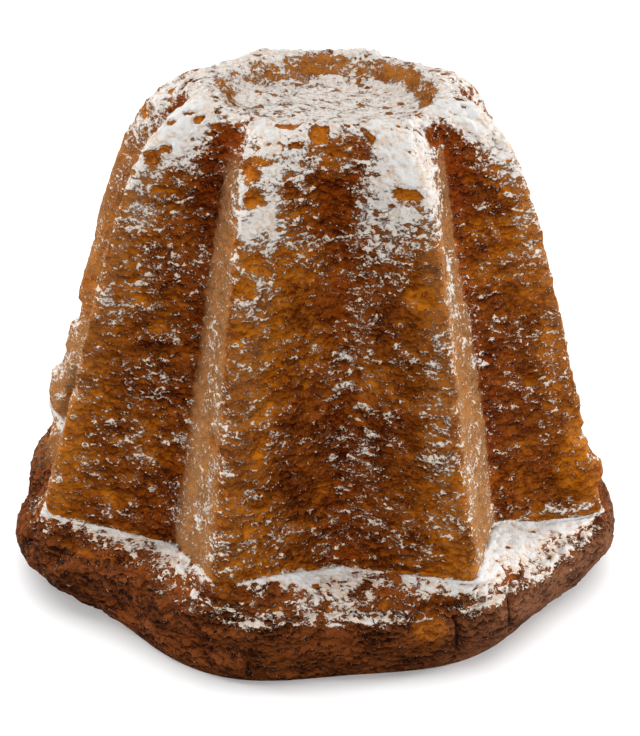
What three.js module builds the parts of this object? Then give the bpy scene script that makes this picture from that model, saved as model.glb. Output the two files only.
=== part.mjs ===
// A pandoro: a tall, eight-pointed Veronese sweet loaf, turned out of its tin and stood on its wide end.
// The dough rose over the rim of the star-shaped tin, so the loaf stands on a thick collar of crust, and the
// tin's raised floor left a round dish in the crown. It is baked as one piece, so it is one solid.
// Millimetres, +Z up. The origin is on the table, under the middle of the star, and the front faces -Y.
import * as THREE from "three";

// Driving dimensions
const points = 8; // points of the star
const starRadius = 115; // from the axis to a point of the star, where the star meets the collar
const fluteRadius = 87; // from the axis to the bottom of a flute, at the same height
const crownHeight = 152; // from the collar's top to the lip round the dish
const dishDepth = 9;
const collarHeight = 30.5;
const footRadius = 60; // the middle of the base, where its faces are one flat disc
const starTurn = THREE.MathUtils.degToRad(6.2); // turn of the star about the axis

// How finely the surface is divided
const segments = 96; // round the axis, a whole number of steps for each flank of the star
const ringsPerSpan = 2; // between two points of the crest and flute lines
const wallRings = 9; // down the rounded wall of the collar

// The crown and the flanks, as two lines from the middle of the dish to the collar: one down the crest of a point,
// one down the bottom of a flute. Radius first, then height over the collar. The lines are read together, so that
// the points with the same number lie on one ring round the loaf.
const dishFloor = crownHeight - dishDepth;
const crestPoints = [
  [0, dishFloor],
  [23, dishFloor],
  [34.5, dishFloor + 2],
  [41, crownHeight - 1.5],
  [47, crownHeight],
  [56.5, 149.5],
  [65, 143],
  [72, 133.5],
  [77.5, 121.5],
  [86.5, 96.5],
  [95.5, 64.5],
  [105.5, 32],
  [starRadius, 0],
];
const flutePoints = [
  [0, dishFloor],
  [23, dishFloor],
  [33.5, dishFloor + 2],
  [39.5, crownHeight - 1.5],
  [43.5, crownHeight],
  [48.5, 149.5],
  [52.5, 143.5],
  [55, 135.5],
  [57.5, 124],
  [64.5, 96.5],
  [72.5, 64.5],
  [80, 32],
  [fluteRadius, 0],
];

// What the oven made uneven. Each list goes once round the loaf and has a value for each point of the star and one
// for the flute after it. It starts at the left of the back and goes by the left, the front and the right.
const swell = [0.05, 0.02, 0.025, 0, 0, 0, 0, 0, 0, 0, 0, 0, -0.01, 0, 0, 0.03]; // share added to the radius
const seamLift = [5.8, 0, 2.3, -2.3, 5.8, 0, 3.5, 0, -5.2, 0, 0, 0, 2.3, 0, 0, 0]; // of the foot of the star
const crownTurn = [0, -1, -1.5, -1, -4, -1, 0, 0, 0, 0, 0, 0, 0, 0, 0, 0]; // degrees, of the crown end
const collarRadius = [120, 116, 124, 113.5, 121, 115, 120, 115, 119.5, 116, 122, 115, 122, 115, 122, 117];
const undercut = [18, 23, 38, 8, 4, 4.5, 9, 16, 17, 14, 14, 14, 14, 14, 14, 14]; // from the bulge to the table
const lipTilt = 2; // the lip of the dish is this much lower at the front and higher at the back

// The collar
const bulgeDepth = 15; // of its widest ring, below its top
const brink = 6; // rounding where its top turns down into its wall
const brinkDrop = 6.3; // fall of its top from the foot of the star to the brink
const topRings = [
  [0.1, 1],
  [0.45, 1.5],
  [0.75, 3],
  [0.9, 5],
]; // share of the way out from the star, then how far the top has fallen

const { clamp, degToRad, euclideanModulo, lerp } = THREE.MathUtils;
const halfStep = Math.PI / points;

// A function of direction that goes smoothly through the values of a list.
function around(list) {
  const loop = new THREE.CatmullRomCurve3(
    list.map((value) => new THREE.Vector3(value, 0, 0)),
    true,
    "catmullrom",
  );
  const start = starTurn - 5 * halfStep;
  return (theta) => loop.getPoint(euclideanModulo((theta - start) / (2 * Math.PI), 1)).x;
}

const swellAt = around(swell);
const seamLiftAt = around(seamLift);
const crownTurnAt = around(crownTurn);
const collarRadiusAt = around(collarRadius);
const undercutAt = around(undercut);

const curveThrough = (list) => new THREE.SplineCurve(list.map(([r, z]) => new THREE.Vector2(r, z)));
const crestLine = curveThrough(crestPoints);
const fluteLine = curveThrough(flutePoints);

// 0 on the crest of a point, 1 in the bottom of a flute, and rounded a little at both.
function acrossFlank(theta) {
  const step = (theta - starTurn) / (2 * halfStep) + 0.5;
  const share = Math.abs(step - Math.round(step)) * 2;
  const soft = 0.1;
  const eased = (x) => (Math.hypot(x, soft) - soft) / (Math.hypot(1, soft) - soft);
  return 1 - eased(1 - eased(share));
}

// The radius of a flat flank, part of the way from a crest to a flute.
function flankRadius(share, crest, flute) {
  const angle = share * halfStep;
  return (crest * flute * Math.sin(halfStep)) / (crest * Math.sin(angle) + flute * Math.sin(halfStep - angle));
}

// A point of the crown or the flanks. u is 0 at the middle of the dish and 1 at the collar.
function starPoint(u, theta) {
  const crest = crestLine.getPoint(u);
  const flute = fluteLine.getPoint(u);
  if (u === 0) return { radius: 0, height: dishFloor, theta };
  let radius = flankRadius(acrossFlank(theta), crest.x, flute.x);
  const fold = crest.x - flute.x;
  const towardsFlute = fold > 0.01 ? (crest.x - radius) / fold : 0;
  let height = lerp(crest.y, flute.y, towardsFlute);
  const low = 1 - clamp(height / starRadius, 0, 1);
  const outsideDish = clamp((radius - 40) / 29, 0, 1);
  radius *= 1 + swellAt(theta) * (1 - 0.6 * low) * outsideDish;
  height += seamLiftAt(theta) * low * low;
  const atCrown = clamp((height - 126) / 23, 0, 1);
  height -= lipTilt * atCrown * Math.cos(theta) * Math.min(radius / 46, 1);
  return { radius, height, theta: theta + degToRad(crownTurnAt(theta)) * (1 - low) };
}

// A ring of the collar's top, which runs out almost level from the foot of the star.
const collarTop = ([out, fall]) => (theta) => {
  const foot = starPoint(1, theta);
  const radius = lerp(foot.radius, collarRadiusAt(theta) - brink, out);
  return { radius, height: foot.height * (1 - 0.7 * out) - fall, theta };
};

// A ring of the collar's wall, which bulges and then turns under to the table.
const collarWall = (share) => (theta) => {
  const angle = degToRad(lerp(20, 180, share));
  const aboveBulge = angle < Math.PI / 2;
  const inset = (aboveBulge ? brink : undercutAt(theta)) * (1 - Math.sin(angle));
  const top = 0.3 * starPoint(1, theta).height - brinkDrop;
  const reach = aboveBulge ? top + bulgeDepth : collarHeight - bulgeDepth;
  return { radius: collarRadiusAt(theta) - inset, height: reach * Math.cos(angle) - bulgeDepth, theta };
};

const baseRing = (radius) => (theta) => ({ radius, height: -collarHeight, theta });

// All rings, from the middle of the base, over the outside, to the middle of the dish.
const spans = (crestPoints.length - 1) * ringsPerSpan;
const rings = [
  ...Array.from({ length: spans + 1 }, (_, i) => (theta) => starPoint(i / spans, theta)),
  ...topRings.map(collarTop),
  ...Array.from({ length: wallRings }, (_, i) => collarWall(i / (wallRings - 1))),
  baseRing(footRadius),
  baseRing(0),
].reverse();

// A lathe makes the rings and the faces between them, and each point then moves to its place on the loaf.
function loafGeometry() {
  const last = rings.length - 1;
  const profile = rings.map((_, row) => new THREE.Vector2(row === 0 || row === last ? 0 : 1, row));
  const geometry = new THREE.LatheGeometry(profile, segments, starTurn);
  const position = geometry.getAttribute("position");
  for (let column = 0; column <= segments; column++) {
    const direction = starTurn + ((column % segments) / segments) * 2 * Math.PI;
    rings.forEach((ring, row) => {
      const { radius, height, theta } = ring(direction);
      const x = radius * Math.sin(theta);
      const y = -radius * Math.cos(theta);
      position.setXYZ(column * rings.length + row, x, y, height + collarHeight);
    });
  }
  geometry.computeVertexNormals();
  return geometry;
}

const crust = new THREE.MeshStandardMaterial({ color: 0xa8641f, roughness: 0.85, metalness: 0 });

const pandoro = new THREE.Mesh(loafGeometry(), crust);
pandoro.name = "pandoro";

const model = new THREE.Group();
model.add(pandoro);

export default model;
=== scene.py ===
import math

import bmesh
import bpy
import numpy as np
from mathutils import Matrix, Vector, noise


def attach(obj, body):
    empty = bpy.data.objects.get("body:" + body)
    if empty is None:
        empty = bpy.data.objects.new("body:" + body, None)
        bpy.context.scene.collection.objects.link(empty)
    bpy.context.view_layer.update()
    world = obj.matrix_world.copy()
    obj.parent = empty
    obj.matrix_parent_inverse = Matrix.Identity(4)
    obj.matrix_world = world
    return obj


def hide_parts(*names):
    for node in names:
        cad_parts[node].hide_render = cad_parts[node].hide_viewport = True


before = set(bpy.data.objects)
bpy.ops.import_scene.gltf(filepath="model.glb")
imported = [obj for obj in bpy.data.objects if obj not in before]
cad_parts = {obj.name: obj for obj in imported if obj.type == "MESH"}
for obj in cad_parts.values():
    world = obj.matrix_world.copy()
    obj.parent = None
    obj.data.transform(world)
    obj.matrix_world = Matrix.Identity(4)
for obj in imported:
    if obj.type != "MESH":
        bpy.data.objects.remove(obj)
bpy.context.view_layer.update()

# ----------------------------------------------------------------------------------------- the loaf's form
# A rich yeast dough baked upside down in a deep tin with eight points, then turned out onto its wide end. The
# tin's raised floor leaves a round dish in the crown, and the dough that rose over the rim bakes to a thick
# collar. Crown, flanks and collar are one skin, spun round and then folded into the star. Lengths are in mm.
points = 8
half_step = math.pi / points
star_turn = math.radians(6.2)
star_radius = 115.0
flute_radius = 87.0
low_part_height = 115.0
collar_height = 30.5
crown_height = 152.0
dish_depth = 9.0
dish_floor = crown_height - dish_depth
crest_line = np.array([
    (0, dish_floor), (23, dish_floor), (34.5, dish_floor + 2), (41, crown_height - 1.5),
    (47, crown_height), (56.5, 149.5), (65, 143), (72, 133.5), (77.5, 121.5), (86.5, 96.5),
    (95.5, 64.5), (105.5, 32), (star_radius, 0),
])
flute_line = np.array([
    (0, dish_floor), (23, dish_floor), (33.5, dish_floor + 2), (39.5, crown_height - 1.5),
    (43.5, crown_height), (48.5, 149.5), (52.5, 143.5), (55, 135.5), (57.5, 124), (64.5, 96.5),
    (72.5, 64.5), (80, 32), (flute_radius, 0),
])

# One value for each point of the star and one for the flute after it, from the left of the back round
# past the front.
swell = [0.05, 0.02, 0.025, 0, 0, 0, 0, 0, 0, 0, 0, 0, -0.01, 0, 0, 0.03]
seam_lift = [5.8, 0, 2.3, -2.3, 5.8, 0, 3.5, 0, -5.2, 0, 0, 0, 2.3, 0, 0, 0]
crown_turn = [0, -1, -1.5, -1, -4, -1, 0, 0, 0, 0, 0, 0, 0, 0, 0, 0]
collar_radius = [120, 116, 124, 113.5, 121, 115, 120, 115, 119.5, 116, 122, 115, 122, 115, 122, 117]
undercut = [18, 23, 38, 8, 4, 4.5, 9, 16, 17, 14, 14, 14, 14, 14, 14, 14]
lip_tilt = 2.0
bulge_depth = 15.0
brink = 6.0
brink_fall = 6.3
follow_seam = 0.3


def curve_value(before, start, end, after, share):
    """A smooth curve between start and end that also heeds the values on either side."""
    bend = 2 * before - 5 * start + 4 * end - after
    twist = -before + 3 * start - 3 * end + after
    return 0.5 * (2 * start + (end - before) * share + bend * share**2 + twist * share**3)


def around(values, theta):
    """The value of a list in direction theta, going smoothly from one entry to the next."""
    values = np.array(values, float)
    place = np.mod((theta - star_turn + 5 * half_step) / half_step, len(values))
    first = np.floor(place).astype(int)
    near = [values[np.mod(first + k, len(values))] for k in (-1, 0, 1, 2)]
    return curve_value(*near, place - first)


def along(line, place):
    """The point (radius, height) at a place on a line, where whole numbers are the line's own points."""
    last = len(line) - 1
    first = min(int(place), last - 1)
    near = [line[min(max(first + k, 0), last)] for k in (-1, 0, 1, 2)]
    return curve_value(*near, place - first)


def smooth(value, low, high):
    """0 below low, 1 above high, and a soft step between."""
    share = np.clip((value - low) / (high - low), 0, 1)
    return share * share * (3 - 2 * share)


def across_flank(theta):
    """0 on the crest of a point, 1 in the bottom of a flute."""
    step = (theta - star_turn) / (2 * half_step) + 0.5
    share = np.abs(step - np.round(step)) * 2
    soft = 0.1
    eased = (np.hypot(share, soft) - soft) / (math.hypot(1, soft) - soft)
    return 1 - (np.hypot(1 - eased, soft) - soft) / (math.hypot(1, soft) - soft)


def star_ring(theta, place):
    """A ring of the crown and flanks: radius, height over the collar and direction of its points."""
    crest, flute = along(crest_line, place), along(flute_line, place)
    share = across_flank(theta)
    spread = crest[0] * np.sin(share * half_step) + flute[0] * np.sin(half_step * (1 - share))
    radius = crest[0] * flute[0] * math.sin(half_step) / np.maximum(spread, 1e-6)
    to_flute = (crest[0] - radius) / max(crest[0] - flute[0], 0.01)
    height = crest[1] + (flute[1] - crest[1]) * np.clip(to_flute, 0, 1)
    low = 1 - np.clip(height / low_part_height, 0, 1)
    # Each point swells by its own share, less at its foot and not at all in the dish.
    radius = radius * (1 + around(swell, theta) * (1 - 0.6 * low) * np.clip((radius - 40) / 29, 0, 1))
    # The seam with the collar lies higher at some points than at others, and the lip leans to the front.
    height = height + around(seam_lift, theta) * low**2
    at_crown = np.clip((height - 126) / 23, 0, 1)
    height = height - lip_tilt * at_crown * np.cos(theta) * np.minimum(radius / 46, 1)
    return radius, height, theta + np.radians(around(crown_turn, theta)) * (1 - low)


def collar_top_ring(theta, out):
    """A ring of the collar's top, which runs out from the foot of the star and falls to the brink."""
    foot_radius, seam_height, _ = star_ring(theta, len(crest_line) - 1)
    fall = np.interp(out, [0, 0.1, 0.45, 0.75, 0.9, 1], [0, 1, 1.5, 3, 5, brink_fall])
    radius = foot_radius + (around(collar_radius, theta) - brink - foot_radius) * out
    return radius, seam_height * (1 - (1 - follow_seam) * out) - fall, theta


def collar_wall_ring(theta, angle):
    """A ring of the collar's wall, which bulges and then turns under to the table."""
    above = angle < math.pi / 2
    inset = (brink if above else around(undercut, theta)) * (1 - math.sin(angle))
    top = follow_seam * star_ring(theta, len(crest_line) - 1)[1] - brink_fall
    reach = top + bulge_depth if above else collar_height - bulge_depth
    return around(collar_radius, theta) - inset, reach * math.cos(angle) - bulge_depth, theta


columns = 720
step_length = 1.25
chords = np.hypot(*np.diff(crest_line, axis=0).T)
star_places = np.interp(
    np.linspace(0, chords.sum(), round(chords.sum() / step_length)),
    np.append(0, chords.cumsum()),
    np.arange(len(crest_line)),
)
rings = [(star_ring, place) for place in star_places]
top_rows = 14
wall_rows = 38
rings += [(collar_top_ring, out) for out in np.linspace(0.05, 0.95, top_rows)]
rings += [(collar_wall_ring, angle) for angle in np.linspace(0, math.pi, wall_rows)]
first_top = len(star_places)
first_wall = first_top + top_rows
base_radii = [60, 0]

last_row = len(rings) + len(base_radii) - 1
skin = bmesh.new()
bmesh.ops.create_grid(skin, x_segments=columns, y_segments=last_row, size=0.5)
for vertex in skin.verts:
    turn = 2 * math.pi * vertex.co.x
    row = round((vertex.co.y + 0.5) * last_row)
    width = 0 if row in (0, last_row) else 1
    vertex.co = (width * math.sin(turn), -width * math.cos(turn), row)
bmesh.ops.remove_doubles(skin, verts=skin.verts, dist=1e-5)
blank = np.array([v.co for v in skin.verts])
row_of = np.round(blank[:, 2]).astype(int)
theta_of = np.arctan2(blank[:, 0], -blank[:, 1])
form = np.zeros_like(blank)
for row in range(last_row + 1):
    chosen = row_of == row
    if row < len(rings):
        make_ring, value = rings[row]
        radius, height, theta = make_ring(theta_of[chosen], value)
    else:
        radius, height, theta = base_radii[row - len(rings)], -collar_height, theta_of[chosen]
    over_table = height + collar_height + 0 * theta
    ring = np.stack([radius * np.sin(theta), -radius * np.cos(theta), over_table], axis=1)
    form[chosen] = ring if row else (0, 0, dish_floor + collar_height)


def put(target, places):
    """Moves the vertices of a bmesh to these places, given in mm."""
    for vertex, place in zip(target.verts, (places / 1000).tolist()):
        vertex.co = place
    target.normal_update()
    return np.array([vertex.normal for vertex in target.verts])


facing = put(skin, form)
if (facing * form)[:, :2].sum() < 0:
    bmesh.ops.reverse_faces(skin, faces=skin.faces)
    facing = put(skin, form)

# -------------------------------------------------------------------------------------- the loaf's surface
# Pulling the loaf out of the tin tears its thin skin into small shingles with a step above each one, and
# opens bubbles in the crumb. The points of the star are chipped, and the collar cracked as it rose.
radial = np.hypot(form[:, 0], form[:, 1])
direction = np.degrees(np.arctan2(form[:, 0], -form[:, 1]))
height_of = form[:, 2]
on_star = (row_of < first_top).astype(float)
on_top = ((row_of >= first_top) & (row_of < first_wall)).astype(float)
on_wall = (row_of >= first_wall).astype(float)
in_flute = across_flank(np.radians(direction)) * on_star * smooth(radial, 40, 50)

# Each of these says how much of a vertex is in one part of the loaf, from 0 to 1.
in_dish = 1 - smooth(radial, 33, 40)
dish_wall = smooth(radial, 33, 36) * (1 - smooth(radial, 39.5, 42)) * on_star
to_base = 1 - smooth(height_of, 0.5, 5)
share_up = (height_of - collar_height) / crown_height


def waves(size, seed):
    """Smooth noise from about -1 to 1, with swells of this size in mm."""
    shifted = form / np.array(size) + np.array((17.3, 9.1, 4.7)) * seed
    return np.array([noise.noise(place) for place in shifted.tolist()]) * 1.6


def cells(size, seed, places):
    """Random cells of this size: for each place, its distance to the middle of its cell and to the border,
    its height over the middle, and where the middle is."""
    shifted = places / np.array(size) + np.array((5.7, 13.9, 8.3)) * seed
    found = [noise.voronoi(place) for place in shifted.tolist()]
    near = np.array([distances[0] for distances, _ in found])
    second = np.array([distances[1] for distances, _ in found])
    middle = np.array([middles[0] for _, middles in found])
    return near, second - near, shifted[:, 2] - middle[:, 2], middle


def chance(middle):
    """A random number from 0 to 1 for each cell."""
    return np.mod(np.sin(middle @ np.array((127.1, 311.7, 74.7))) * 43758.5, 1)


def spot(theta, radius, height, width, tall):
    """Distance from a place on the loaf, where 1 is the rim of a patch this wide and this tall."""
    theta = math.radians(theta)
    offset = form - (radius * math.sin(theta), -radius * math.cos(theta), height)
    return np.sqrt((np.hypot(offset[:, 0], offset[:, 1]) * 2 / width) ** 2 + (offset[:, 2] * 2 / tall) ** 2)


def patch(theta, radius, height, width, tall, full=0.4, gone=1.1):
    """1 in a patch at a place on the loaf, and 0 past its rim."""
    return 1 - smooth(spot(theta, radius, height, width, tall), full, gone)


wander = np.stack([waves(13, 1), waves(13, 2), waves(9, 3)], axis=1)
warped = form + 2.2 * wander

shingle_size = (7.5, 7.5, 6.2)
small_shingle_size = (3.6, 3.6, 3.0)
bubble_spacing = (16, 16, 12)
bubble_depth = 1.7
pit_spacing = (5.5, 5.5, 5.5)
pit_depth = 1.1
lump_size = (15, 15, 11)
_, _, rise, middle = cells(shingle_size, 1, warped)
shingle = np.clip(rise, -0.6, 0.6) * (0.5 + chance(middle))
_, _, rise, middle = cells(small_shingle_size, 2, form + 1.4 * wander)
small_shingle = np.clip(rise, -0.6, 0.6) * (0.4 + chance(middle))
torn = smooth(waves(22, 4), -0.6, 0.7)

crest = (1 - smooth(in_flute, 0.1, 0.4)) * on_star * smooth(radial, 55, 70)
relief = (0.3 + 0.6 * torn) * (1 - 0.7 * crest) * shingle + 0.7 * (1 - 0.5 * crest) * small_shingle
relief += 0.6 * waves(34, 5) + 0.3 * waves(11, 6) + 0.35 * waves(2.6, 7)

# Bubbles that have their place, each with its direction, radius, height, width, tallness and depth. The
# rest fall at random, and so do the small pits round the crown.
bubbles = [
    (-18.0, 83.4, 132.1, 8, 8, 2.4),
    (-19.2, 73.0, 161.2, 9, 7, 2.2),
    (-17.0, 87.1, 118.3, 12, 9, 1.9),
    (-9.0, 72.0, 142.0, 10, 6, 1.6),
    (-54.0, 68.5, 153.7, 15, 5, 1.6),
    (27.7, 103.6, 68.3, 6, 7, 2.2),
    (24.0, 82.0, 129.0, 14, 8, 1.5),
    (-12.0, 78.0, 170.0, 10, 4, 1.5),
    (2.0, 84.0, 60.0, 9, 8, 1.4),
    (-1.0, 56.0, 176.0, 5, 3, 1.2),
    (-9.0, 57.0, 177.0, 8, 4, 1.4),
    (-20.0, 62.0, 172.0, 9, 4, 1.4),
    (9.0, 56.0, 176.0, 6, 4, 1.2),
    (-58.0, 66.0, 168.0, 7, 5, 1.4),
    (-23.0, 66.0, 168.0, 12, 6, 1.8),
]
near, _, _, middle = cells(bubble_spacing, 3, warped)
reach = 0.16 + 0.2 * chance(middle)
open_here = (chance(middle + 3.1) > 0.7) * on_star * (1 - in_dish)
bubble = np.clip(1 - (near / reach) ** 2, 0, 1) * open_here
hollow = bubble_depth * bubble
for theta, radius, height, width, tall, depth in bubbles:
    inside = np.clip(1 - (spot(theta, radius, height, width, tall) + 0.25 * wander[:, 0]) ** 2, 0, 1)
    bubble = np.maximum(bubble, inside)
    hollow = np.maximum(hollow, depth * inside)
near, _, _, middle = cells(pit_spacing, 4, warped)
pit = np.clip(1 - (near / (0.14 + 0.3 * chance(middle))) ** 2, 0, 1) * smooth(share_up, 0.9, 0.97)
pit *= on_star * smooth(radial, 20, 30) * (chance(middle + 1.7) > 0.45)
hollow += pit_depth * pit
smooth_crumb = smooth(np.maximum(bubble, 0.8 * pit), 0.02, 0.35)
relief = relief * (1 - 0.75 * smooth_crumb) - hollow

# The crests of the points are chipped, and the foot of the star keeps a dark gap over the collar.
relief -= crest * 0.6 * smooth(waves((9, 9, 6), 8), 0.15, 0.8)
foot = on_star * smooth(row_of, first_top - 6, first_top - 1)
relief -= 0.8 * foot * smooth(row_of, first_top - 8, first_top - 1)

# The dish keeps the fine print of the tin's floor, and one flank at the left is smooth. The collar is rough
# on its edge, and smooth underneath on the right.
relief *= 1 - 0.45 * in_dish
left_strip = smooth(1 - spot(-88, 88, 110, 70, 190) ** 2, 0, 0.4)
relief *= 1 - 0.6 * left_strip
brink_row = first_wall + 8
bulge_row = first_wall + 20
edge = on_top * smooth(row_of, first_wall - 7, first_wall - 1)
edge += on_wall * (1 - smooth(row_of, brink_row, bulge_row))
to_right = smooth(direction, 12, 45)
lower_wall = on_wall * smooth(row_of, first_wall + 5, first_wall + 13) * to_right
rough_wall = on_wall * smooth(row_of, brink_row, bulge_row) * (1 - to_right)
relief *= 1 - 0.4 * on_top - 0.45 * lower_wall - 0.4 * rough_wall
_, border, _, _ = cells(lump_size, 17, form + 2.5 * wander)
lumps = 0.8 * smooth(border, 0, 0.3) - 0.6
relief += edge * (lumps + 0.9 * waves((11, 11, 8), 9) + 0.5 * waves(3.4, 10))
relief += (lower_wall + rough_wall) * 1.3 * waves((22, 22, 12), 11)
relief += rough_wall * 0.5 * waves((5, 5, 4), 18)

# Hollows, tears and swellings that have their place, each with its direction, radius, height, width,
# tallness and depth, which is below 0 for a swelling.
marks = [
    (-16.0, 115.2, 33.5, 9, 6, 4.5),
    (-19.0, 119.0, 12.0, 34, 11, 5.0),
    (-20.0, 120.0, 25.0, 34, 9, -1.8),
    (-53.0, 117.0, 24.0, 18, 12, 2.6),
    (-40.0, 116.0, 11.0, 32, 9, 4.0),
    (-62.5, 122.0, 21.0, 14, 7, 4.0),
    (-60.0, 123.0, 29.0, 14, 7, -3.5),
    (20.0, 118.5, 23.0, 15, 12, 1.8),
    (71.5, 110.0, 44.0, 16, 18, -4.0),
    (72.5, 104.0, 58.0, 12, 8, 1.8),
    (-104.8, 103.3, 80.0, 14, 12, 2.2),
    (-104.0, 95.0, 112.0, 12, 12, 1.6),
    (-100.0, 113.0, 50.0, 26, 44, -3.5),
    (37.3, 43.1, 180.9, 7, 4, 2.0),
    (-138.0, 30.0, 175.0, 9, 5, 1.8),
]
for theta, radius, height, width, tall, depth in marks:
    reach = spot(theta, radius, height, width, tall) + 0.35 * wander[:, 0] + 0.2 * wander[:, 1]
    relief -= depth * smooth(1 - reach**2, 0, 0.8)

# Cracks in the collar's wall: direction, lower and upper end, half width and depth.
cracks = [
    (25.5, 0, 26, 1.9, 5.0),
    (36.0, 8, 26, 2.0, 2.5),
    (-11, 1, 13, 1.6, 2.0),
    (-86, 2, 24, 2, 3.0),
    (150, 2, 26, 2, 3.0),
]
# Besides the groove, each crack is painted near black in the crust's colour: painted shade.
crack_shade = np.zeros(len(form))
for theta, low, high, half_width, depth in cracks:
    aside = np.abs(direction - theta - 0.5 * wander[:, 2]) * np.radians(radial) / half_width
    crack = np.clip(1 - aside, 0, 1) * on_wall * smooth(height_of, low, low + 4)
    crack *= 1 - smooth(height_of, high - 4, high)
    relief -= depth * crack
    crack_shade = np.maximum(crack_shade, crack)
relief *= 1 - to_base

surface = form + facing * relief[:, None]
surface[:, 2] = np.maximum(surface[:, 2], 0)
normals = put(skin, surface)

# ------------------------------------------------------------------------------------ where the sugar lies
# Icing sugar is shaken over the loaf from above. It covers the crown and the shoulders of the points,
# catches on every step of the torn skin, and lies thickest on the collar's top, right of the front.
shelf = np.clip(normals[:, 2] - facing[:, 2], -0.5, 0.8)
sheltered = smooth(in_flute, 0.35, 0.85) * (1 - smooth(share_up, 0.955, 0.985))
shoulder = smooth(share_up, 0.74, 0.98) * (1 - 0.9 * sheltered)
caramel = sheltered * smooth(share_up, 0.66, 0.82) * on_star
caramel = np.maximum(caramel, 0.7 * smooth(in_flute, 0.7, 1) * on_star)
at_notch = patch(3, 50, 172, 24, 18, 0.3, 1.2)
caramel *= 1 - 0.8 * at_notch
sugar = on_star * (0.20 + 0.06 * share_up + 0.56 * shoulder + 0.14 * smooth(share_up, 0.94, 0.99))

# The collar: most at the foot of the star, less to the brink, and almost none on the wall.
outward = np.clip((row_of - first_top) / top_rows, 0, 1)
behind = smooth(np.abs(direction - 8), 70, 95)
sugar += on_top * (0.86 - 0.66 * outward) - 0.3 * on_top * behind * smooth(waves(38, 19), -0.5, 0.4)
to_front = 1 - smooth(np.abs(direction - 22), 30, 60)
sugar += edge * on_wall * (0.22 + 0.22 * to_front)
climb = on_star * smooth(row_of, first_top - 5, first_top - 1)
sugar += climb * (0.15 + 0.5 * waves(8, 20))
sugar -= 0.3 * on_top * (1 - smooth(outward, 0, 0.3)) * smooth(waves(9, 21), 0, 0.6)
sugar -= on_wall * 0.5 * smooth(row_of, first_wall + 3 + 4 * to_front, first_wall + 9 + 5 * to_front)

# Drifts, and where there is less: direction, radius, height, width, tallness and amount.
drifts = [
    (20, 66, 160, 34, 56, 0.42),
    (34, 75, 145, 18, 70, 0.15),
    (-60, 60, 176, 32, 28, 0.42),
    (-18, 74, 160, 26, 46, 0.32),
    (-60, 78, 158, 12, 50, 0.35),
    (72, 72, 165, 16, 40, 0.3),
    (52, 105, 29, 70, 20, 0.3),
    (68, 110, 28, 40, 14, 0.15),
    (-48, 106, 28, 70, 16, -0.13),
    (8, 84, 100, 26, 60, 0.10),
    (-84, 88, 110, 44, 130, -0.3),
    (3, 88, 48, 100, 30, 0.05),
    (-16, 58, 178, 30, 26, 0.12),
    (0, 56, 178, 44, 14, -0.08),
    (3, 50, 170, 22, 16, 0.22),
    (52, 55, 178, 60, 24, 0.25),
    (14, 110, 28, 60, 18, 0.02),
    (32, 112, 29, 26, 14, 0.3),
    (-98, 105, 50, 60, 60, 0.1),
    (-16, 112, 33, 18, 10, -0.5),
    (72, 108, 46, 30, 30, -0.3),
]
for theta, radius, height, width, tall, amount in drifts:
    sugar += amount * patch(theta, radius, height, width, tall, 0.4, 1.2)
sugar -= 0.22 * caramel * smooth(share_up, 0.66, 0.82)
sugar += 0.1 * crest * (1 - shoulder)
sugar += 0.08 * in_dish * on_star
sugar -= (0.5 + 0.12 * behind + 0.4 * waves(11, 22)) * dish_wall
sugar += 0.17 * waves(16, 12) + 0.17 * waves(5, 13)
sugar *= 1 - 0.8 * smooth_crumb

# Dust goes into the crust's material. Where the thickness is above 0, a coat of its own lies on the crust.
most_coat = 1.6
bare_below = 12
dust = np.clip(0.95 * sugar + 0.6 * shelf, 0, 1)
thickness = most_coat * (sugar + 0.8 * shelf - 0.64 - 0.32 * on_star + 0.24 * waves(2.2, 14))
thickness = np.where(on_star > 0, np.minimum(thickness, 0.35 + 0.3 * thickness), thickness)
thickness = np.where(height_of < bare_below, -1, np.clip(thickness, -0.7, most_coat))

# The facets of the points that face sideways, towards the lamps at the sides, are painted lighter and more
# golden: painted light. Elsewhere the veil is a thin film of dust.
painted_side_light = smooth(np.abs(facing[:, 0]), 0.8, 0.93) * (1 - 0.3 * share_up)
painted_side_light *= 1 - 0.75 * smooth(np.abs(direction - 8), 60, 85)
veil_and_side_light = on_star * (0.05 + 0.3 * share_up) * (1 - smooth(in_flute, 0.02, 0.16))
veil_and_side_light += on_star * (0.85 * painted_side_light + 0.3 * left_strip + 0.3 * smooth(sugar, 0.45, 0.85))
left_bulge = patch(-98, 105, 50, 70, 70)
veil_and_side_light = np.clip((veil_and_side_light + 0.6 * left_bulge) * (1 - 0.8 * smooth_crumb), 0, 1)

# Torn open crumb, and painted light on the facets that face the lamps at the sides.
opened_and_side_light = smooth(-relief, -0.2, 1.4) + 0.45 * crest + 0.4 * left_strip
opened_and_side_light += left_bulge + 0.9 * patch(72, 108, 48, 34, 36) + 0.7 * patch(-61, 107, 55, 18, 70, 0.3, 1.2)
opened_and_side_light += 0.9 * dish_wall + 0.6 * at_notch + 0.6 * on_star * painted_side_light
opened_and_side_light = np.clip(opened_and_side_light, 0, 1)
bake = 0.12 + 0.12 * waves(18, 15) + 0.3 * on_top + 0.75 * on_wall
bake = np.clip(bake - 0.5 * patch(20.5, 118.5, 21.0, 18, 26, 0.5, 1.1), 0, 1)


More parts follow.
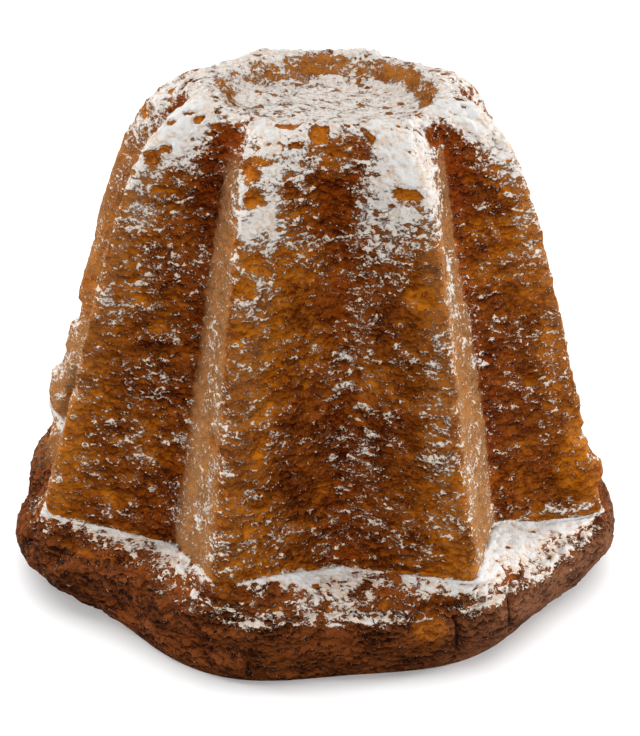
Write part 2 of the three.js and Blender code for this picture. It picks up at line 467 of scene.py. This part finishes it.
# ------------------------------------------------------------------------------------- the crust and crumb
# The skin that the tin browned is a thin amber crust, worn to golden crumb on the edges and in the bubbles.
# The collar is caramel brown, with a smooth reddish wall on the right. Fine steps, pores and the thin dust
# of sugar are in the material.
def node(tree, kind, settings, inputs):
    """Adds a node. An input is a value, or the socket that it comes from."""
    made = tree.nodes.new("ShaderNode" + kind)
    for name, value in settings.items():
        setattr(made, name, value)
    for name, value in inputs.items():
        if isinstance(value, bpy.types.NodeSocket):
            tree.links.new(value, made.inputs[name])
        else:
            made.inputs[name].default_value = value
    return made


def maths(tree, operation, first, second=0.0):
    return node(tree, "Math", {"operation": operation}, {0: first, 1: second}).outputs[0]


def plus(tree, first, second, weight):
    """The first value and this much of the second."""
    return node(tree, "Math", {"operation": "MULTIPLY_ADD"}, {0: second, 1: weight, 2: first}).outputs[0]


def faded(tree, value, where, weight):
    """The value, made less by this share where the second value is 1."""
    return maths(tree, "MULTIPLY", value, plus(tree, 1.0, where, -weight))


def step(tree, value, low, high):
    """0 below low, 1 above high, and a soft step between."""
    inputs = {"Value": value, "From Min": low, "From Max": high}
    return node(tree, "MapRange", {"interpolation_type": "SMOOTHSTEP"}, inputs).outputs["Result"]


def blend(tree, share, first, second):
    """Goes from the first colour to the second."""
    made = tree.nodes.new("ShaderNodeMix")
    made.data_type = "RGBA"
    for socket, value in zip((made.inputs[0], made.inputs[6], made.inputs[7]), (share, first, second)):
        if isinstance(value, bpy.types.NodeSocket):
            tree.links.new(value, socket)
        else:
            socket.default_value = value
    return made.outputs[2]


def own(tree, name):
    return node(tree, "Attribute", {"attribute_name": name}, {}).outputs["Fac"]


def placed(tree, size):
    """Object coordinates, scaled so that one unit is this many metres."""
    coordinates = node(tree, "TexCoord", {}, {}).outputs["Object"]
    scale = tuple(1 / side for side in size)
    return node(tree, "Mapping", {}, {"Vector": coordinates, "Scale": scale}).outputs[0]


def grain(tree, size, detail=2.0, roughness=0.5):
    """Noise from 0 to 1 with swells of this size."""
    inputs = {"Vector": placed(tree, size), "Scale": 1.0, "Detail": detail, "Roughness": roughness}
    return node(tree, "TexNoise", {}, inputs).outputs["Fac"]


def vectors(tree, operation, *values):
    return node(tree, "VectorMath", {"operation": operation}, dict(enumerate(values))).outputs[0]


def shingles(tree, size, stray):
    """The fine steps of the torn skin, as the height over the middle of each cell."""
    place = placed(tree, size)
    shift = node(tree, "TexNoise", {}, {"Vector": place, "Scale": 0.6, "Detail": 2.0}).outputs["Color"]
    centred = vectors(tree, "SUBTRACT", shift, (0.5, 0.5, 0.5))
    moved = vectors(tree, "MULTIPLY_ADD", centred, (stray,) * 3, place)
    voronoi = node(tree, "TexVoronoi", {}, {"Vector": moved, "Scale": 1.0})
    offset = vectors(tree, "SUBTRACT", moved, voronoi.outputs["Position"])
    return node(tree, "SeparateXYZ", {}, {0: offset}).outputs["Z"]


def start_material(name):
    material = bpy.data.materials.new(name)
    material.use_nodes = True
    return material, material.node_tree, material.node_tree.nodes["Principled BSDF"]


crust, tree, shader = start_material("baked_crust")
bake_here = own(tree, "bake")
dust_here = own(tree, "dust")
# Torn crumb, and painted light on the facets that face the lamps at the sides.
open_here = own(tree, "opened_and_side_light")
low_wall = own(tree, "low_wall")
caramel_here = own(tree, "caramel")
veil_and_side_light_here = own(tree, "veil_and_side_light")
crack_shade_here = own(tree, "crack_shade")
rise = shingles(tree, (0.0027, 0.0027, 0.0022), 2.2)
rise_small = shingles(tree, (0.0013, 0.0013, 0.0011), 2.0)
mottle = grain(tree, (0.012, 0.012, 0.008), 4.0, 0.6)
crumbs = grain(tree, (0.0011, 0.0011, 0.0008), 3.0, 0.65)

# Each crust goes from a dark to a light colour with the tone of the spot, which differs at random and is
# painted darker beside each step of the torn skin as painted shade.
skin_dark = (0.030, 0.003, 0.0005, 1)
skin_light = (0.28, 0.064, 0.006, 1)
crumb_dark = (0.18, 0.036, 0.001, 1)
crumb_light = (0.44, 0.135, 0.006, 1)
caramel_dark = (0.036, 0.004, 0.0005, 1)
caramel_light = (0.25, 0.042, 0.002, 1)
collar_dark = (0.014, 0.003, 0.001, 1)
collar_light = (0.19, 0.050, 0.011, 1)
red_dark = (0.030, 0.009, 0.003, 1)
red_light = (0.20, 0.082, 0.040, 1)
# painted shade in the cracks of the collar
crack_shade_colour = (0.014, 0.004, 0.001, 1)
gold_film_and_side_light = (0.36, 0.19, 0.075, 1)
thin_dust = (0.92, 0.75, 0.58, 1)
thick_dust = (0.80, 0.75, 0.70, 1)
tone_and_step_shade = plus(tree, maths(tree, "MULTIPLY", mottle, 1.5), crumbs, 1.2)
# Darker toward the top of each shingle, next to the step above it: painted shade.
tone_and_step_shade = plus(tree, tone_and_step_shade, rise, -0.5)
usual_tone = step(tree, tone_and_step_shade, 0.95, 1.75)
browned_skin = blend(tree, step(tree, tone_and_step_shade, 0.85, 1.85), skin_dark, skin_light)
torn_crumb = blend(tree, usual_tone, crumb_dark, crumb_light)
crumb = blend(tree, open_here, browned_skin, torn_crumb)
dark_caramel = blend(tree, usual_tone, caramel_dark, caramel_light)
crumb = blend(tree, maths(tree, "MULTIPLY", caramel_here, 0.85), crumb, dark_caramel)
browned = blend(tree, usual_tone, collar_dark, collar_light)
reddish = blend(tree, step(tree, tone_and_step_shade, 0.9, 1.8), red_dark, red_light)
baked_here = step(tree, plus(tree, bake_here, crumbs, 0.3), 0.25, 0.95)
colour = blend(tree, baked_here, crumb, browned)
colour = blend(tree, low_wall, colour, reddish)
# Painted shade in the cracks of the collar.
colour = blend(tree, step(tree, crack_shade_here, 0.25, 0.9), colour, crack_shade_colour)

# Dust of sugar: a thin film on the golden flanks, and grains that catch on ledges and hang in chains. On the
# facets that face the side lamps the golden film is painted light.
powder = grain(tree, (0.0011, 0.0011, 0.0009), 4.0, 0.75)
fine_powder = grain(tree, (0.0005, 0.0005, 0.0005), 2.0, 0.7)
film_and_side_light = maths(tree, "MULTIPLY", veil_and_side_light_here, step(tree, maths(tree, "ADD", powder, fine_powder), 0.5, 1.2))
film_and_side_light = plus(tree, film_and_side_light, veil_and_side_light_here, 0.4)
colour = blend(tree, maths(tree, "MULTIPLY", film_and_side_light, 0.62), colour, gold_film_and_side_light)
patch_size = (0.008, 0.008, 0.006)
patches = grain(tree, patch_size, 3.0, 0.6)
chains = maths(tree, "ABSOLUTE", maths(tree, "SUBTRACT", grain(tree, patch_size, 4.0, 0.65), 0.5))
chains = maths(tree, "SUBTRACT", 1.0, step(tree, chains, 0.0, 0.07))
pore_spacing = (0.0048, 0.0048, 0.0032)
pores = node(tree, "TexVoronoi", {}, {"Vector": placed(tree, pore_spacing), "Scale": 1.0})
picked = step(tree, node(tree, "SeparateXYZ", {}, {0: pores.outputs["Color"]}).outputs["X"], 0.45, 0.75)
pored = faded(tree, picked, step(tree, pores.outputs["Distance"], 0.2, 0.42), 1.0)
caught = maths(tree, "MULTIPLY", dust_here, 1.15)
for source, weight in (
    (rise, 0.5),
    (rise_small, 0.25),
    (maths(tree, "SUBTRACT", powder, 0.5), 1.8),
    (maths(tree, "SUBTRACT", patches, 0.5), 0.95),
    (maths(tree, "SUBTRACT", fine_powder, 0.5), 0.8),
    (chains, 0.22),
    (veil_and_side_light_here, 0.06),
    (pored, -0.85),
):
    caught = plus(tree, caught, source, weight)
sugared = maths(tree, "MULTIPLY", step(tree, caught, 0.60, 0.86), 0.95)
powdered = blend(tree, step(tree, dust_here, 0.3, 0.75), thin_dust, thick_dust)
colour = blend(tree, sugared, colour, powdered)

# The relief of the crust is less in open crumb and on the baked collar, and sugar fills it to a level.
height = plus(tree, maths(tree, "MULTIPLY", rise, 0.9), rise_small, 0.4)
height = plus(tree, height, crumbs, 0.7)
height = plus(tree, height, pored, -0.5)
height = faded(tree, height, open_here, 0.6)
height = faded(tree, height, low_wall, 0.75)
height = faded(tree, height, bake_here, 0.4)
level = maths(tree, "ADD", 0.5, powder)
height = plus(tree, height, sugared, maths(tree, "SUBTRACT", level, height))
bump = node(tree, "Bump", {}, {"Height": height, "Strength": 1.0, "Distance": 0.0014}).outputs[0]
tree.links.new(colour, shader.inputs["Base Color"])
tree.links.new(bump, shader.inputs["Normal"])
tree.links.new(plus(tree, 0.7, crumbs, 0.3), shader.inputs["Roughness"])
shader.inputs["Specular IOR Level"].default_value = 0.03


def finish_mesh(source, name, material, values, most, shell=0.0):
    """Makes a piece of a bmesh, with its values for the material and a wall of this thickness if it is
    open. It thins the mesh to at most this many triangles."""
    mesh = bpy.data.meshes.new(name)
    source.to_mesh(mesh)
    for label, numbers in values.items():
        mesh.attributes.new(label, "FLOAT", "POINT").data.foreach_set("value", numbers.astype(np.float32))
    mesh.shade_smooth()
    mesh.materials.append(material)
    piece = bpy.data.objects.new(name, mesh)
    bpy.context.scene.collection.objects.link(piece)
    mesh.calc_loop_triangles()
    triangles = len(mesh.loop_triangles) * (2 if shell else 1)
    if shell:
        wall = piece.modifiers.new("wall", "SOLIDIFY")
        wall.thickness = shell
        wall.offset = -1
    thin = piece.modifiers.new("thin", "DECIMATE")
    thin.ratio = min(1.0, most / triangles)
    graph = bpy.context.evaluated_depsgraph_get()
    piece.data = bpy.data.meshes.new_from_object(piece.evaluated_get(graph))
    piece.modifiers.clear()
    bpy.data.meshes.remove(mesh)
    return piece


shades = {
    "bake": bake,
    "dust": dust,
    "opened_and_side_light": opened_and_side_light,
    "low_wall": lower_wall,
    "caramel": caramel,
    "crack_shade": crack_shade,
    "veil_and_side_light": veil_and_side_light,
}
loaf_triangles = 195000
loaf = finish_mesh(skin, "pandoro_loaf", crust, shades, loaf_triangles)
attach(loaf, "root")
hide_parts("pandoro")

# ----------------------------------------------------------------------------------------- the icing sugar
# Fine white sugar that clings in a lumpy coat, up to 2 mm thick. Its mesh is the loaf's own skin, lifted by
# the coat's thickness, cut away where there is none, and closed underneath, out of sight in the crust.
coat = skin.copy()
coat.verts.ensure_lookup_table()
lifted = surface + normals * (thickness + 0.12 * waves(1.6, 16))[:, None]
put(coat, lifted)
layer = coat.verts.layers.float.new("thick")
for vertex, value in zip(coat.verts, thickness.tolist()):
    vertex[layer] = value
bare = [face for face in coat.faces if max(vertex[layer] for vertex in face.verts) < 0.0]
bmesh.ops.delete(coat, geom=bare, context="FACES")
sparse = [vertex for vertex in coat.verts if not vertex.link_faces]
bmesh.ops.delete(coat, geom=sparse, context="VERTS")

sugar_white, tree, shader = start_material("icing_sugar")
thick_here = own(tree, "thick")
clumps = grain(tree, (0.0016, 0.0016, 0.0012), 3.0, 0.6)
grit = grain(tree, (0.00045, 0.00045, 0.00045), 2.0, 0.6)
thinned = step(tree, plus(tree, thick_here, clumps, 1.2), 0.5, 1.0)
thin_coat = (0.56, 0.42, 0.31, 1)
thick_coat = (0.62, 0.605, 0.59, 1)
colour = blend(tree, thinned, thin_coat, thick_coat)
height = plus(tree, maths(tree, "MULTIPLY", clumps, 0.8), grit, 0.35)
bump = node(tree, "Bump", {}, {"Height": height, "Strength": 1.0, "Distance": 0.0011}).outputs[0]
tree.links.new(colour, shader.inputs["Base Color"])
tree.links.new(bump, shader.inputs["Normal"])
tree.links.new(plus(tree, 0.8, grit, 0.2), shader.inputs["Roughness"])
shader.inputs["Specular IOR Level"].default_value = 0.2

coat_triangles = 190000
icing = finish_mesh(coat, "icing_sugar", sugar_white, {}, coat_triangles, shell=0.0008)
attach(icing, "root")

# ----------------------------------------------------------------------------------------------- the table
# A plain, pale, matt tabletop that reaches past the edge of every view.
table_bm = bmesh.new()
bmesh.ops.create_grid(table_bm, x_segments=1, y_segments=1, size=6)
table_mesh = bpy.data.meshes.new("table")
table_bm.to_mesh(table_mesh)
table = bpy.data.objects.new("table", table_mesh)
bpy.context.scene.collection.objects.link(table)
pale, tree, shader = start_material("pale_table")
shader.inputs["Base Color"].default_value = (0.95, 0.95, 0.95, 1)
shader.inputs["Roughness"].default_value = 0.9
shader.inputs["Specular IOR Level"].default_value = 0.1
table_mesh.materials.append(pale)
table.visible_diffuse = False  # so that it throws no light back up onto the loaf

# ----------------------------------------------------------------------------------------------- the light
# A soft white studio: a very broad light overhead that leans from behind, a small one at each side a little
# behind the loaf, which brightens the facets that face it, and a large one in front.
loaf_middle = Vector((0, 0, 0.09))


def soft_light(name, place, size, power):
    """A square light of this size that faces the middle of the loaf."""
    lamp = bpy.data.lights.new(name, "AREA")
    lamp.size = size
    lamp.energy = power
    holder = bpy.data.objects.new(name, lamp)
    holder.location = place
    holder.rotation_euler = (loaf_middle - holder.location).to_track_quat("-Z", "Y").to_euler()
    bpy.context.scene.collection.objects.link(holder)


sky = bpy.data.lights.new("overhead", "SUN")
sky.angle = math.radians(100)
sky.energy = 3.7
sky_holder = bpy.data.objects.new("overhead", sky)
sky_holder.rotation_euler = (math.radians(-30), 0, 0)
bpy.context.scene.collection.objects.link(sky_holder)
soft_light("left_side", (-1.1, 0.25, 0.14), 0.26, 12.5)
soft_light("right_side", (1.1, 0.25, 0.14), 0.26, 14)
soft_light("front", (0.2, -2.0, 0.5), 1.6, 48)

studio = bpy.data.worlds.new("studio")
studio.use_nodes = True
studio.node_tree.nodes["Background"].inputs["Color"].default_value = (1, 1, 1, 1)
studio.node_tree.nodes["Background"].inputs["Strength"].default_value = 0.22
bpy.context.scene.world = studio
bpy.context.scene.view_settings.view_transform = "Standard"

# ---------------------------------------------------------------------------------------------- the camera
# It looks down on the front of the loaf, and is a little tipped to one side.
camera_place = (0, -0.636, 0.3585)
from_straight_down = math.radians(65.5)
roll = math.radians(1.24)
camera_data = bpy.data.cameras.new("camera")
camera_data.lens = 86.9
camera = bpy.data.objects.new("camera", camera_data)
aim = Matrix.Rotation(from_straight_down, 4, "X") @ Matrix.Rotation(roll, 4, "Z")
camera.matrix_world = Matrix.Translation(camera_place) @ aim
bpy.context.scene.collection.objects.link(camera)
bpy.context.scene.camera = camera
